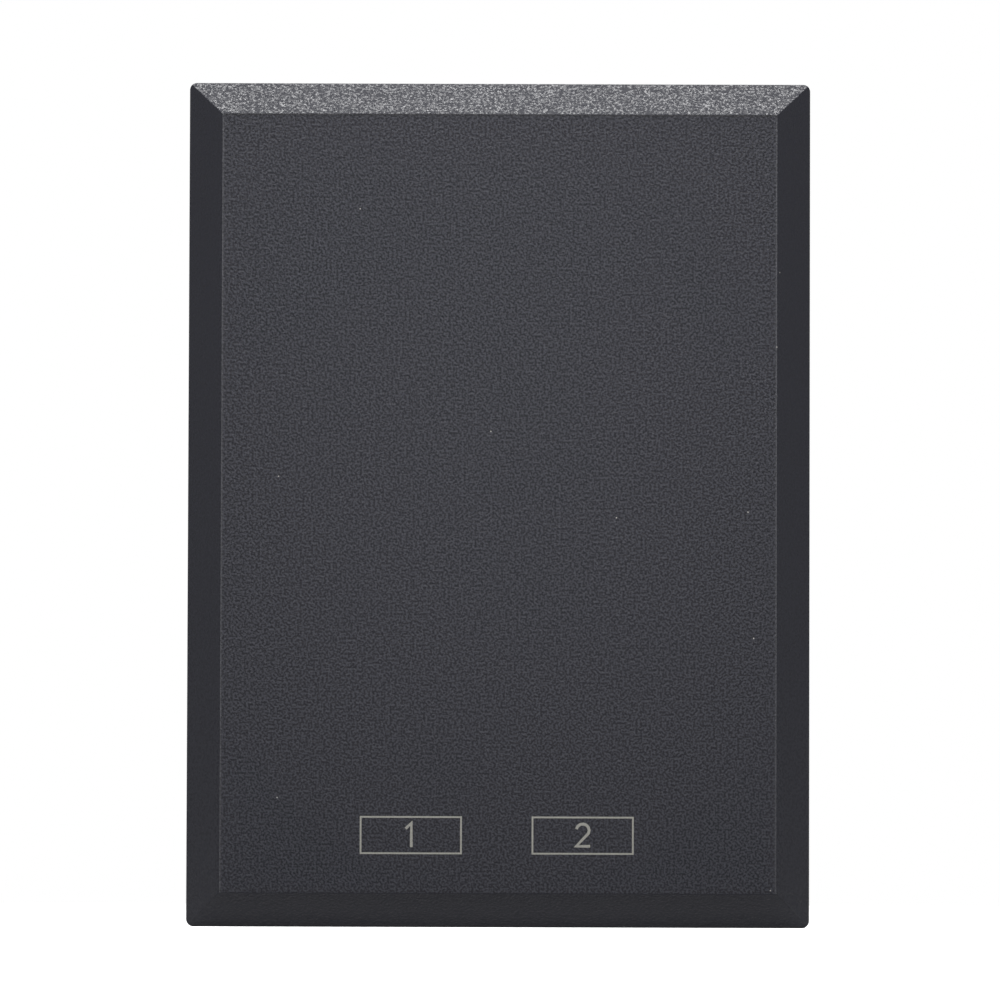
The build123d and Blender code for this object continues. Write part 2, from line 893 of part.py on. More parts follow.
def make_relay():
    """An open-frame relay under a cover, with its armature at rest off the pole."""
    at = Pos(relay_x, relay_y, board_top)
    inner_width = relay_width - 2 * relay_wall
    inner_length = relay_length - 2 * relay_wall
    cover = block(around(0, relay_width), around(0, relay_length), (0, relay_height))
    cover = chamfer(cover.edges().filter_by(Axis.Z), relay_corner_cut)
    cover = chamfer(cover.faces().sort_by(Axis.Z)[-1].edges(), relay_corner_cut)
    cover -= block(around(0, inner_width), around(0, inner_length), (0, relay_height - relay_wall))
    base = block(
        around(0, inner_width - 2 * relay_fit_gap),
        around(0, inner_length - 2 * relay_fit_gap),
        (0, relay_base_thickness),
    )
    for x, y, width, metal in relay_pin_places().values():
        slot = (around(x, width + 2 * relay_fit_gap), around(y, metal + 2 * relay_fit_gap))
        base -= block(*slot, (0, relay_base_thickness))
    yoke_line = (
        (core_y + bobbin_barrel / 2, relay_base_thickness + yoke_metal / 2),
        (yoke_back + yoke_metal / 2, relay_base_thickness + yoke_metal / 2),
        (yoke_back + yoke_metal / 2, hinge_level),
    )
    yoke = bent_strip(yoke_line, yoke_metal, around(0, yoke_width))
    yoke += relay_pin("yoke", relay_base_thickness)
    core_hole = core_diameter + 2 * core_fit_gap
    yoke -= rod(0, core_y, relay_base_thickness, bobbin_bottom, core_hole)
    core = rod(0, core_y, relay_base_thickness, bobbin_top, core_diameter)
    core += rod(0, core_y, bobbin_top, pole_top, pole_diameter)
    flange = (around(0, bobbin_flange), around(core_y, bobbin_flange))
    bobbin = block(*flange, (bobbin_bottom, bobbin_bottom + bobbin_flange_thickness))
    bobbin += block(*flange, (bobbin_top - bobbin_flange_thickness, bobbin_top))
    bobbin += rod(0, core_y, bobbin_bottom, bobbin_top, bobbin_barrel)
    bobbin -= rod(0, core_y, bobbin_bottom, bobbin_top, core_hole)
    wound = (bobbin_bottom + bobbin_flange_thickness, bobbin_top - bobbin_flange_thickness)
    winding = rod(0, core_y, *wound, winding_diameter) - rod(0, core_y, *wound, bobbin_barrel)
    coil_pins = group([relay_pin(name, bobbin_bottom) for name in ("coil_left", "coil_right")])
    armature_end = core_y + pole_diameter / 2 + armature_overhang
    armature = block(
        around(0, armature_width), (yoke_back, armature_end), (hinge_level, armature_top)
    )
    armature = chamfer(armature.edges().filter_by(Axis.Z).group_by(Axis.Y)[-1], armature_overhang)
    blade = block(
        around(0, blade_width),
        (hinge_y + blade_start, contact_y + blade_end_margin),
        (armature_top, blade_top),
    )
    blade = chamfer(blade.edges().filter_by(Axis.Z).group_by(Axis.Y)[-1], blade_end_margin / 2)
    neck = block(
        around(0, contact_diameter / 2),
        around(contact_y, contact_diameter / 2),
        (armature_top, blade_top),
    )
    blade -= neck
    moving_contact = neck
    moving_contact += rod(
        0, contact_y, armature_top - contact_button, armature_top, contact_diameter
    )
    moving_contact += rod(0, contact_y, blade_top, closed_contact_bottom, contact_diameter)
    back_line = yoke_back - return_spring_metal / 2
    lap_line = armature_top + return_spring_metal / 2
    return_spring = bent_strip(
        (
            (back_line, armature_top - return_spring_drop),
            (back_line, lap_line),
            (back_line + return_spring_lap, lap_line),
        ),
        return_spring_metal,
        around(0, return_spring_width),
    )
    open_contact = make_fixed_contact("open", open_contact_top - contact_head, -1)
    closed_contact = make_fixed_contact("closed", closed_contact_bottom + contact_head, 1)
    pieces = {
        "relay_base": base,
        "relay_cover": cover,
        "relay_yoke": yoke,
        "relay_core": core,
        "relay_bobbin": bobbin,
        "relay_winding": winding,
        "relay_coil_pins": coil_pins,
        "relay_armature": armature,
        "relay_blade": blade,
        "relay_moving_contact": moving_contact,
        "relay_return_spring": return_spring,
        "relay_open_contact": open_contact,
        "relay_closed_contact": closed_contact,
    }
    return {name: at * piece for name, piece in pieces.items()}


def make_fixed_contact(name, face, outwards):
    """A strip that stands on the relay's base and holds a contact over or under the blade."""
    x, y, width, metal = relay_pin_places()[name]
    level = face + outwards * strip_metal / 2
    upright = bent_strip(
        ((y, relay_base_thickness), (y, level), (contact_y - contact_diameter / 2, level)),
        strip_metal,
        around(x, strip_width),
    )
    arm_end = -x / abs(x) * blade_width / 2
    arm = block(
        sorted((x, arm_end)),
        around(contact_y, contact_diameter),
        sorted((face, face + outwards * strip_metal)),
    )
    button = rod(0, contact_y, *sorted((face, face - outwards * contact_head)), contact_diameter)
    return upright + arm + button + relay_pin(name, relay_base_thickness)


def make_radio_module():
    """The radio module: a small board with plated half holes, a shield and its two chips."""
    board = block(
        around(module_x, module_length), around(module_y, module_width), (board_top, module_top)
    )
    first = module_x - module_length / 2 + shield_inset + castellation_pitch / 2
    half_hole = RegularPolygon(castellation_diameter / 2, castellation_sides)
    half_hole = extrude(half_hole, module_thickness)
    for step in range(castellations):
        x = first + step * castellation_pitch
        for y in (module_y - module_width / 2, module_y + module_width / 2):
            board -= Pos(x, y, board_top) * half_hole
    shield_top = module_top + shield_height
    shield = block(
        around(shield_x, shield_length), around(module_y, shield_width), (module_top, shield_top)
    )
    shield = fillet(shield.edges().filter_by(Axis.Z), shield_round)
    shield -= block(
        around(shield_x, shield_length - 2 * shield_metal),
        around(module_y, shield_width - 2 * shield_metal),
        (module_top, shield_top - shield_metal),
    )
    chip_x = shield_x - shield_length / 4
    chip = block(
        around(chip_x, radio_chip_size),
        around(module_y, radio_chip_size),
        (module_top, module_top + radio_chip_height),
    )
    crystal_x = shield_x + shield_length / 4
    crystal = block(
        around(crystal_x, crystal_length),
        around(module_y, crystal_width),
        (module_top, module_top + crystal_height),
    )
    return board, shield, chip, crystal


def moulded_body(length, width, height):
    """A moulded chip body that narrows from its middle to its top and bottom."""
    step = height * body_taper_share
    sections = (0, step), (height / 2, 0), (height, step)
    outlines = [
        Pos(0, 0, level) * Rectangle(length - 2 * inset, width - 2 * inset)
        for level, inset in sections
    ]
    return loft(outlines, ruled=True)


def make_capacitor():
    """The supply capacitor: a crimped can on a base with two corners cut."""
    at = Pos(-capacitor_from_centre, board_height / 2 - capacitor_from_top, board_top)
    side = around(0, capacitor_base_size)
    base = block(side, side, (0, capacitor_base_height))
    base = chamfer(base.edges().filter_by(Axis.Z).group_by(Axis.Y)[-1], capacitor_corner_cut)
    top = capacitor_base_height + capacitor_height
    can = rod(0, 0, capacitor_base_height, top, capacitor_diameter)
    can = chamfer(can.edges().group_by(Axis.Z)[-1], capacitor_edge_bevel)
    level = capacitor_base_height + capacitor_groove_height
    radius = capacitor_diameter / 2
    crimp = make_face(
        Polyline(
            (radius, level - capacitor_groove),
            (radius - capacitor_groove, level),
            (radius, level + capacitor_groove),
            close=True,
        )
    )
    can -= revolve(Plane.XZ * crimp, Axis.Z)
    return at * base, at * can


def make_regulator():
    """The supply regulator: three leads on one side and a wide tab on the other."""
    at = Pos(regulator_from_centre, board_height / 2 - regulator_from_top, board_top)
    body = moulded_body(regulator_length, regulator_width, regulator_height)
    rise = regulator_height / 2
    out = regulator_width / 2
    leads = [
        Rot(0, 0, -90) * gull_wing(out, step * regulator_lead_pitch, lead_width, lead_reach, rise)
        for step in (-1, 0, 1)
    ]
    leads.append(Rot(0, 0, 90) * gull_wing(out, 0, regulator_tab_width, lead_reach, rise))
    return at * body, at * group(leads)


def make_optocoupler():
    """The sensor input's isolator, with two leads on each side."""
    x = terminal_spacing / 2
    y = terminal_rear + part_gap + optocoupler_length / 2
    at = Pos(x, y, board_top)
    body = moulded_body(optocoupler_length, optocoupler_width, optocoupler_height)
    out = optocoupler_length / 2
    rise = optocoupler_height / 2
    leads = [
        Rot(0, 0, turn) * gull_wing(out, along, lead_width, lead_reach, rise)
        for turn in (0, 180)
        for along in (-optocoupler_lead_pitch / 2, optocoupler_lead_pitch / 2)
    ]
    return at * body, at * group(leads)


def make_driver():
    """The relay's transistor and the diode across its coil, above the relay."""
    edge = relay_y + relay_length / 2 + part_gap
    y = edge + transistor_width / 2 + small_lead_reach
    at = Pos(relay_x - relay_width / 2 + transistor_length / 2, y, board_top)
    body = moulded_body(transistor_length, transistor_width, transistor_height)
    out = transistor_width / 2
    leads = [
        Rot(0, 0, turn)
        * gull_wing(out, along, transistor_lead_width, small_lead_reach, small_lead_rise)
        for turn, along in (
            (90, 0),
            (-90, -transistor_lead_pitch / 2),
            (-90, transistor_lead_pitch / 2),
        )
    ]
    diode_at = Pos(relay_x + relay_width / 2 - diode_length / 2, edge + diode_width / 2, board_top)
    diode = moulded_body(diode_length, diode_width, diode_height)
    out = diode_length / 2
    rise = diode_height / 2
    diode_leads = [
        Rot(0, 0, turn) * gull_wing(out, 0, diode_width / 2, small_lead_reach, rise)
        for turn in (0, 180)
    ]
    return at * body, at * group(leads), diode_at * diode, diode_at * group(diode_leads)


def make_chips():
    """Rows of chip resistors and capacitors, each a body between two metal ends."""
    resistor_row = (
        terminal_spacing / 2 + optocoupler_length / 2 + lead_reach + part_gap + chip_length / 2,
        terminal_rear + part_gap + chip_width / 2,
        4,
    )
    driver_row = (
        relay_x,
        relay_y + relay_length / 2 + 2 * part_gap + diode_width + chip_width,
        2,
    )
    capacitor_row = (
        module_x,
        module_y - module_width / 2 - part_gap - chip_width / 2 - 2 * chip_pitch,
        3,
    )
    body = chip_length * (1 - 2 * chip_end_share)
    bodies = {"resistors": [], "capacitors": []}
    ends = []
    for kind, (x, y, count) in (
        ("resistors", resistor_row),
        ("resistors", driver_row),
        ("capacitors", capacitor_row),
    ):
        for step in range(count):
            place = Pos(x, y + step * chip_pitch, board_top)
            span = around(0, chip_width)
            bodies[kind].append(place * block(around(0, body), span, (0, chip_height)))
            for low, high in ((-chip_length / 2, -body / 2), (body / 2, chip_length / 2)):
                ends.append(place * block((low, high), span, (0, chip_height)))
    return group(bodies["resistors"]), group(bodies["capacitors"]), group(ends)


def all_pins():
    """Every flat pin that the board takes: its place, its width and its metal."""
    pins = [
        (x + offset, terminal_pin_y, terminal_pin_width, clamp_bar_thickness)
        for x in terminal_places.values()
        for offset in pole_offsets.values()
    ]
    for x, y, width, metal in relay_pin_places().values():
        pins.append((relay_x + x, relay_y + y, width, metal))
    return pins


def make_nodes():
    """Every separate piece of the controller, by name."""
    outside, inside = case_blocks()
    windows = port_windows()
    nodes = {
        "back_cover": make_back_cover(outside, inside, windows),
        "front_cover": make_front_cover(outside, inside, windows),
        "circuit_board": make_board(all_pins()),
        "board_screws": make_screws(),
        "pairing_button": make_button(),
        "light_guide": make_light_guide(),
        "status_light": make_light(),
    }
    for name, x in terminal_places.items():
        body, contacts, springs, buttons = make_terminal(x)
        nodes[f"{name}_terminal_body"] = body
        nodes[f"{name}_terminal_contacts"] = contacts
        for side in pole_offsets:
            nodes[f"{name}_clamp_spring_{side}"] = springs[side]
            nodes[f"{name}_release_button_{side}"] = buttons[side]
    socket = ("supply_socket_shell", "supply_socket_insulator", "supply_socket_contacts")
    nodes.update(zip(socket, make_supply_socket()))
    switch = ("switch_base", "switch_cover", "switch_plunger", "switch_dome", "switch_leads")
    nodes.update(zip(switch, make_switch()))
    nodes.update(make_relay())
    radio = ("radio_board", "radio_shield", "radio_chip", "radio_crystal")
    nodes.update(zip(radio, make_radio_module()))
    nodes.update(zip(("capacitor_base", "capacitor_can"), make_capacitor()))
    nodes.update(zip(("regulator_body", "regulator_leads"), make_regulator()))
    nodes.update(zip(("optocoupler_body", "optocoupler_leads"), make_optocoupler()))
    driver = ("transistor_body", "transistor_leads", "diode_body", "diode_leads")
    nodes.update(zip(driver, make_driver()))
    chips = ("chip_resistors", "chip_capacitors", "chip_ends")
    nodes.update(zip(chips, make_chips()))
    return nodes


os.makedirs("parts", exist_ok=True)
stand_up = Rot(90, 0, 0)
for node, shape in make_nodes().items():
    export_step(stand_up * shape, f"parts/{node}.step")
print(f"relay armature swings {armature_angle:.3f} degrees")
print(f"its hinge is at x {relay_x:.3f}, y {-(board_top + hinge_level):.3f}, z {relay_y + hinge_y:.3f}")
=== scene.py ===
import math

import bmesh
import bpy
from mathutils import Matrix, Vector


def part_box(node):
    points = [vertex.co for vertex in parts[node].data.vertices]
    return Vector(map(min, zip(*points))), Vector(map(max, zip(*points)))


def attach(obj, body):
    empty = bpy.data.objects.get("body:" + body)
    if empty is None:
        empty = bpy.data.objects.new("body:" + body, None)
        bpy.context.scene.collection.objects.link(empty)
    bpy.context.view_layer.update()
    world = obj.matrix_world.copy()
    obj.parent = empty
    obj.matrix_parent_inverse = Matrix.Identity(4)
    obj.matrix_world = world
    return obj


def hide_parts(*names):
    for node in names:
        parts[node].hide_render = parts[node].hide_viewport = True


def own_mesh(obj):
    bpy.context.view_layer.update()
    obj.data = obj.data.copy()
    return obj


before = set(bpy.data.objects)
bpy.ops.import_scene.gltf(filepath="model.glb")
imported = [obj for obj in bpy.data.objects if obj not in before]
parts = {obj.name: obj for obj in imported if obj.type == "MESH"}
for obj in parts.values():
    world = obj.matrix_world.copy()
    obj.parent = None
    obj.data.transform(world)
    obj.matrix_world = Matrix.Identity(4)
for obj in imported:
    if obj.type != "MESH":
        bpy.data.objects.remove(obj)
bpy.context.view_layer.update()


# The stand-in studio. The case stands on its bottom edge on a table of pale paper, which
# keeps its shadow. To the lens the paper also glows, weakly near the case and more strongly
# further off: painted light that makes the paper read white away from the case. From under
# the table the paper is clear, so that the bottom edge with its terminals can be looked at.
def start_finish(name):
    """A new finish, its surface, and the place on the object that its nodes start from."""
    finish = bpy.data.materials.new(name)
    finish.use_nodes = True
    nodes = finish.node_tree.nodes
    place = nodes.new("ShaderNodeTexCoord").outputs["Object"]
    return finish, nodes["Principled BSDF"], place


def feed(value, socket):
    """Leads a node's output to a socket, or sets a number or colour on it."""
    if isinstance(value, bpy.types.NodeSocket):
        value.id_data.links.new(value, socket)
    elif isinstance(value, tuple):
        socket.default_value = (*value, 1)
    else:
        socket.default_value = value


def combine(how, *values):
    """One output worked out of the first one and of what follows it."""
    step = values[0].id_data.nodes.new("ShaderNodeMath")
    step.operation = how
    for value, socket in zip(values, step.inputs):
        feed(value, socket)
    return step.outputs[0]


def spread(value, low, high, start=0.3, end=0.7):
    """The value's part from start to end, spread over low to high."""
    ranged = value.id_data.nodes.new("ShaderNodeMapRange")
    ranged.inputs["From Min"].default_value = start
    ranged.inputs["From Max"].default_value = end
    ranged.inputs["To Min"].default_value = low
    ranged.inputs["To Max"].default_value = high
    feed(value, ranged.inputs["Value"])
    return ranged.outputs["Result"]


def rays_to_paper(nodes):
    """The lens's own rays, and with them those by way of a mirror or of clear plastic."""
    ray = nodes.new("ShaderNodeLightPath").outputs
    own_or_mirrored = combine("MAXIMUM", ray["Is Camera Ray"], ray["Is Glossy Ray"])
    return ray["Is Camera Ray"], combine("MAXIMUM", own_or_mirrored, ray["Is Transmission Ray"])


table_level = -0.04075
table_side = 3.0
four_corners = ((-1, -1), (1, -1), (1, 1), (-1, 1))
table_mesh = bpy.data.meshes.new("table_top")
table_mesh.from_pydata(
    [(x * table_side, y * table_side, table_level) for x, y in four_corners],
    [],
    [(0, 1, 2, 3)],
)
table_top = bpy.data.objects.new("table_top", table_mesh)
bpy.context.scene.collection.objects.link(table_top)

paper_colour = (0.55, 0.55, 0.55)
glow_near_case, glow_far_off = 0.12, 0.44
glow_starts, glow_is_full = 0.06, 0.55
glow_in_mirrors = 0.5
table_paper, paper, place = start_finish("table_paper")
feed(paper_colour, paper.inputs["Base Color"])
paper.inputs["Roughness"].default_value = 0.9
paper.inputs["Specular IOR Level"].default_value = 0.1
paper.inputs["Emission Color"].default_value = (1, 1, 1, 1)
paper_nodes = table_paper.node_tree.nodes
off_centre = paper_nodes.new("ShaderNodeVectorMath")
off_centre.operation = "LENGTH"
feed(place, off_centre.inputs[0])
# The paper's glow to the lens is painted light, weak near the case so that its shadow shows, and
# stronger further off so that the paper reads white.
painted_glow_by_distance = spread(
    off_centre.outputs["Value"], glow_near_case, glow_far_off, glow_starts, glow_is_full
)
seen, seen_or_mirrored = rays_to_paper(paper_nodes)
mirrored_glow = combine("MULTIPLY", seen_or_mirrored, glow_in_mirrors)
paper_glow = combine("MULTIPLY_ADD", seen, painted_glow_by_distance, mirrored_glow)
feed(paper_glow, paper.inputs["Emission Strength"])
one_sided = paper_nodes.new("ShaderNodeMixShader")
from_below = paper_nodes.new("ShaderNodeNewGeometry").outputs["Backfacing"]
clear_below = paper_nodes.new("ShaderNodeBsdfTransparent")
feed(from_below, one_sided.inputs["Fac"])
feed(paper.outputs[0], one_sided.inputs[1])
feed(clear_below.outputs[0], one_sided.inputs[2])
feed(one_sided.outputs[0], paper_nodes["Material Output"].inputs["Surface"])
table_mesh.materials.append(table_paper)

# Behind the table is plain white paper, which metal and clear plastic also show. What it
# gives as light is weaker, so the dark plastic keeps its own colour.
studio = bpy.data.worlds.new("studio_paper")
bpy.context.scene.world = studio
studio.use_nodes = True
studio_nodes = studio.node_tree.nodes
studio_nodes.clear()
paper_or_light = studio_nodes.new("ShaderNodeMixShader")
feed(rays_to_paper(studio_nodes)[1], paper_or_light.inputs["Fac"])
soft_light = ((0.97, 0.98, 1.0), 0.32)
white_paper = ((1, 1, 1), 1.0)
for side, (colour, strength) in ((1, soft_light), (2, white_paper)):
    backdrop = studio_nodes.new("ShaderNodeBackground")
    feed(colour, backdrop.inputs["Color"])
    feed(strength, backdrop.inputs["Strength"])
    feed(backdrop.outputs[0], paper_or_light.inputs[side])
studio_out = studio_nodes.new("ShaderNodeOutputWorld")
feed(paper_or_light.outputs[0], studio_out.inputs["Surface"])

# The lamps. A strip overhead and a softbox on the lens side make the top bevel shine and
# let the flat of the back fall off from top to bottom; a thin glow at the table reaches the
# bottom bevel. A second softbox and a wide fill do the same for the front.
lamps = (
    ("overhead_strip", (0, -0.026, 0.21), (0, 0, 0.04), (0.17, 0.04), 0.56, 180),
    ("lens_side_softbox", (0, 0.12, 0.12), (0, 0, 0.018), (0.22, 0.05), 0.58, 180),
    ("middle_softbox", (0, 0.2, 0.05), (0, 0, -0.004), (0.06, 0.04), 0.008, 36),
    ("table_glow", (0, -0.0017, -0.0407), (0, -0.0017, 0), (0.062, 0.0034), 0.0003, 180),
    ("front_softbox", (0, -0.142, 0.12), (0, -0.022, 0.018), (0.22, 0.05), 0.45, 180),
    ("front_fill", (0.3, -0.9, 0.45), (0, 0, 0), (0.7, 0.7), 5.0, 180),
)
for name, place, aim, (width, depth), watts, beam in lamps:
    lamp = bpy.data.lights.new(name, "AREA")
    lamp.shape = "RECTANGLE"
    lamp.size = width
    lamp.size_y = depth
    lamp.spread = math.radians(beam)
    lamp.energy = watts
    holder = bpy.data.objects.new(name, lamp)
    holder.location = place
    holder.rotation_euler = (Vector(aim) - Vector(place)).to_track_quat("-Z", "Y").to_euler()
    holder.visible_camera = False
    bpy.context.scene.collection.objects.link(holder)

# The lens is long and stands 0.8 m behind the case, near the table, looking a little up at
# the middle of the back, as a catalogue picture is taken. It leans by a hair.
lens = bpy.data.cameras.new("catalogue_lens")
lens.sensor_width = 36.0
lens.lens = 299.95
lens.clip_start = 0.01
lens.clip_end = 20.0
look_aside, look_up, lean = -0.00087, 0.04782, 0.00313
ahead = Vector(
    (
        math.sin(look_aside) * math.cos(look_up),
        -math.cos(look_aside) * math.cos(look_up),
        math.sin(look_up),
    )
)
level_right = ahead.cross(Vector((0, 0, 1))).normalized()
level_up = level_right.cross(ahead).normalized()
right = level_right * math.cos(lean) + level_up * math.sin(lean)
up = right.cross(ahead).normalized()
stand = Matrix((right, up, -ahead)).transposed().to_4x4()
stand.translation = Vector((0.000588, 0.8, -0.038))
tripod = bpy.data.objects.new("catalogue_camera", lens)
tripod.matrix_world = stand
bpy.context.scene.collection.objects.link(tripod)
bpy.context.scene.camera = tripod
bpy.context.scene.view_settings.view_transform = "Standard"

# The case: two moulded halves of black flame-proof plastic, spark-eroded to a fine matt
# grain and snapped together along the seam. The grain sparkles on the bevels. A paler colour
# beside the side creases of the flat is a painted highlight, a near-black line under its top
# crease is painted shade, and the bevels' even colour, darker than the flecked flat, is
# painted shade too.
MM = 0.001
case_black = (0.0050, 0.0051, 0.0073)
case_black_pale = (0.0187, 0.0191, 0.0240)
# The even colour, darker than the flecked flat and without its flecks, is painted shade for the
# bevels.
case_black_shaded_bevels = (0.0092, 0.0095, 0.0130)
# The pale crease colour is a painted highlight beside the side creases of the flat.
case_painted_highlight = (0.068, 0.068, 0.072)
# The near-black colour is painted shade, a dark line under the top crease of the flat.
case_painted_shade = (0.002, 0.002, 0.003)
case_dust = (0.30, 0.29, 0.27)
dust_spacing, dust_cover = 0.55, 0.6
edge_softness = 0.16
eased_normal_reach = 0.45
grain_size = 0.25
grain_depth = 0.08
polished, dull = 0.11, 0.62
rim_dullness, underside_dullness, flat_dullness = 0.55, 0.5, 0.45
faces_square_on, faces_edge_on, faces_down = (0.93, 0.98), (0.15, 0.45), (-0.6, -0.2)
close_to_edge, edge_at_side, edge_at_top = (0.93, 0.995), (0.05, 0.15), (0.05, 0.14)
bevel_at_side, grain_at_side = (0.3, 0.6), 0.25
fleck_contrast, dust_rarity = (0.40, 0.60), (0.905, 0.925)


def cells(place, size, detail=2.0, stretch=None):
    """Soft random cells about this many millimetres across."""
    nodes = place.id_data.nodes
    if stretch:
        pulled = nodes.new("ShaderNodeMapping")
        pulled.inputs["Scale"].default_value = stretch
        feed(place, pulled.inputs["Vector"])
        place = pulled.outputs["Vector"]
    noise = nodes.new("ShaderNodeTexNoise")
    noise.inputs["Scale"].default_value = 1.0 / (size * MM)
    noise.inputs["Detail"].default_value = detail
    noise.inputs["Roughness"].default_value = 0.55
    feed(place, noise.inputs["Vector"])
    return noise.outputs["Fac"]


def blend_colours(share, first, second):
    """The first colour where the share is 0, and the second where it is 1."""
    mix = share.id_data.nodes.new("ShaderNodeMix")
    mix.data_type = "RGBA"
    feed(share, mix.inputs["Factor"])
    for letter, colour in (("A", first), ("B", second)):
        feed(colour, [s for s in mix.inputs if s.name == letter and s.type == "RGBA"][0])
    return [s for s in mix.outputs if s.type == "RGBA"][0]


def raise_grain(surface, height, depth, strength=1.0, over=None):
    bump = surface.id_data.nodes.new("ShaderNodeBump")
    if over:
        feed(over, bump.inputs["Normal"])
    feed(strength, bump.inputs["Strength"])
    feed(depth * MM, bump.inputs["Distance"])
    feed(height, bump.inputs["Height"])
    feed(bump.outputs["Normal"], surface.inputs["Normal"])


def eased_edge(nodes, reach):
    """Which way the skin faces, turned smoothly within this many millimetres of an edge."""
    eased = nodes.new("ShaderNodeBevel")
    eased.samples = 6
    eased.inputs["Radius"].default_value = reach * MM
    return eased.outputs["Normal"]


def split_ways(direction):
    ways = direction.id_data.nodes.new("ShaderNodeSeparateXYZ")
    feed(direction, ways.inputs[0])
    return ways.outputs


def dress(finish, *nodes):
    for node in nodes:
        mesh = parts[node].data
        mesh.materials.clear()
        mesh.materials.append(finish)


case_finish, surface, place = start_finish("case_black_grain")
case_nodes = case_finish.node_tree.nodes
grain = cells(place, grain_size, detail=1.0)
burnish = cells(place, grain_size * 1.05, detail=0.0, stretch=(1.0, 1.03, 0.97))
fleck = cells(place, grain_size * 0.85, detail=0.0)
faces_way = split_ways(case_nodes.new("ShaderNodeTexCoord").outputs["Normal"])
squareness = combine("ABSOLUTE", faces_way["Y"])
on_flat = spread(squareness, 0, 1, *faces_square_on)

eroded = blend_colours(spread(fleck, 0, 1, *fleck_contrast), case_black, case_black_pale)
# Every face not square to the back or front takes the even, darker colour: painted shade for the
# bevels. The flat keeps its flecked grain.
flecked_flat_shaded_bevels = blend_colours(on_flat, case_black_shaded_bevels, eroded)
dust = spread(cells(place, dust_spacing, detail=0.0), 0, dust_cover, *dust_rarity)
dusty = blend_colours(dust, flecked_flat_shaded_bevels, case_dust)

past_edge = eased_edge(case_nodes, eased_normal_reach)
edge_run = split_ways(past_edge)
sideways = combine("ABSOLUTE", edge_run["X"])
flatness = case_nodes.new("ShaderNodeVectorMath")
flatness.operation = "DOT_PRODUCT"
feed(past_edge, flatness.inputs[0])
feed(case_nodes.new("ShaderNodeNewGeometry").outputs["Normal"], flatness.inputs[1])
near_edge = spread(flatness.outputs["Value"], 1, 0, *close_to_edge)
near_side_edge = combine("MULTIPLY", near_edge, spread(sideways, 0, 1, *edge_at_side))
# Beside the side creases the flat takes the pale colour: a painted highlight.
with_painted_highlight = blend_colours(combine("MULTIPLY", near_side_edge, on_flat), dusty, case_painted_highlight)
# Under the top crease the flat takes the near-black colour: a painted shade line.
under_top_edge = combine("MULTIPLY", spread(edge_run["Z"], 0, 1, *edge_at_top), on_flat)
feed(blend_colours(under_top_edge, with_painted_highlight, case_painted_shade), surface.inputs["Base Color"])

rim_or_underside = combine(
    "MAXIMUM",
    spread(squareness, rim_dullness, 0, *faces_edge_on),
    spread(faces_way["Z"], underside_dullness, 0, *faces_down),
)
evenly_dull = combine("MULTIPLY_ADD", on_flat, flat_dullness, rim_or_underside)
sparkle = spread(burnish, polished, dull, *fleck_contrast)
feed(combine("MAXIMUM", sparkle, evenly_dull), surface.inputs["Roughness"])
surface.inputs["Specular IOR Level"].default_value = 0.13
grain_strength = spread(sideways, 1, grain_at_side, *bevel_at_side)
raise_grain(surface, grain, grain_depth, grain_strength, eased_edge(case_nodes, edge_softness))
dress(case_finish, "back_cover", "front_cover")

# The print on the back: two thin frames over the two terminals, in warm grey pad-printed
# ink, each with a plain number that tells the ports apart.
print_grey_thin, print_grey = (0.11, 0.108, 0.098), (0.152, 0.150, 0.134)
frame_width, frame_height, frame_line = 9.8, 3.65, 0.17
frame_level = -31.93
frame_places = (8.35, -8.14)
ink_thickness = 0.012
numeral_line = 0.27
pore_size = 0.12

ink_finish, surface, place = start_finish("printed_grey_ink")
pores = cells(place, pore_size)
inked = blend_colours(spread(pores, 0, 1, 0.3, 0.6), print_grey_thin, print_grey)
feed(inked, surface.inputs["Base Color"])
feed(spread(pores, 0.55, 0.72), surface.inputs["Roughness"])
surface.inputs["Specular IOR Level"].default_value = 0.3
raise_grain(surface, pores, 0.01)


def strip_frame(shape, centre_x, centre_z, width, height, line, level):
    """A thin flat outline with four corners, drawn as one closed band."""
    rings = []
    for step in (0, line):
        half_w = (width / 2 - step) * MM
        half_h = (height / 2 - step) * MM
        x0, z0 = centre_x * MM, centre_z * MM
        corners = [(x0 + x * half_w, z0 + z * half_h) for x, z in four_corners]
        rings.append([shape.verts.new((x, level * MM, z)) for x, z in corners])
    outer, inner = rings
    for i in range(4):
        j = (i + 1) % 4
        shape.faces.new((outer[i], inner[i], inner[j], outer[j]))


def flat_run(shape, points, width, level, side):
    """One flat stroke through these x, z points, mitred at its bends."""
    spots = [Vector((x, z)) for x, z in points]
    edges = []
    for i, spot in enumerate(spots):
        before = (spot - spots[max(i - 1, 0)]).normalized()
        after = (spots[min(i + 1, len(spots) - 1)] - spot).normalized()
        if i == 0:
            before = after
        if i == len(spots) - 1:
            after = before
        across = Vector((-(before + after).y, (before + after).x)).normalized()
        reach = width / 2 / max(across.dot(Vector((-before.y, before.x))), 0.5)
        edges.append(
            [
                shape.verts.new((p.x * MM, level * MM, p.y * MM))
                for p in (spot + across * reach, spot - across * reach)
            ]
        )
    for (a, b), (c, d) in zip(edges, edges[1:]):
        shape.faces.new((a, c, d, b) if side > 0 else (a, b, d, c))


def finish_shape(shape, name):
    mesh = bpy.data.meshes.new(name)
    shape.to_mesh(mesh)
    shape.free()
    return mesh


def add_piece(name, mesh, finish):
    """A piece that is fixed to the case or to what stands in it, in its own finish."""
    piece = bpy.data.objects.new(name, mesh)
    bpy.context.scene.collection.objects.link(piece)
    mesh.materials.clear()
    mesh.materials.append(finish)
    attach(piece, "controller")
    return piece


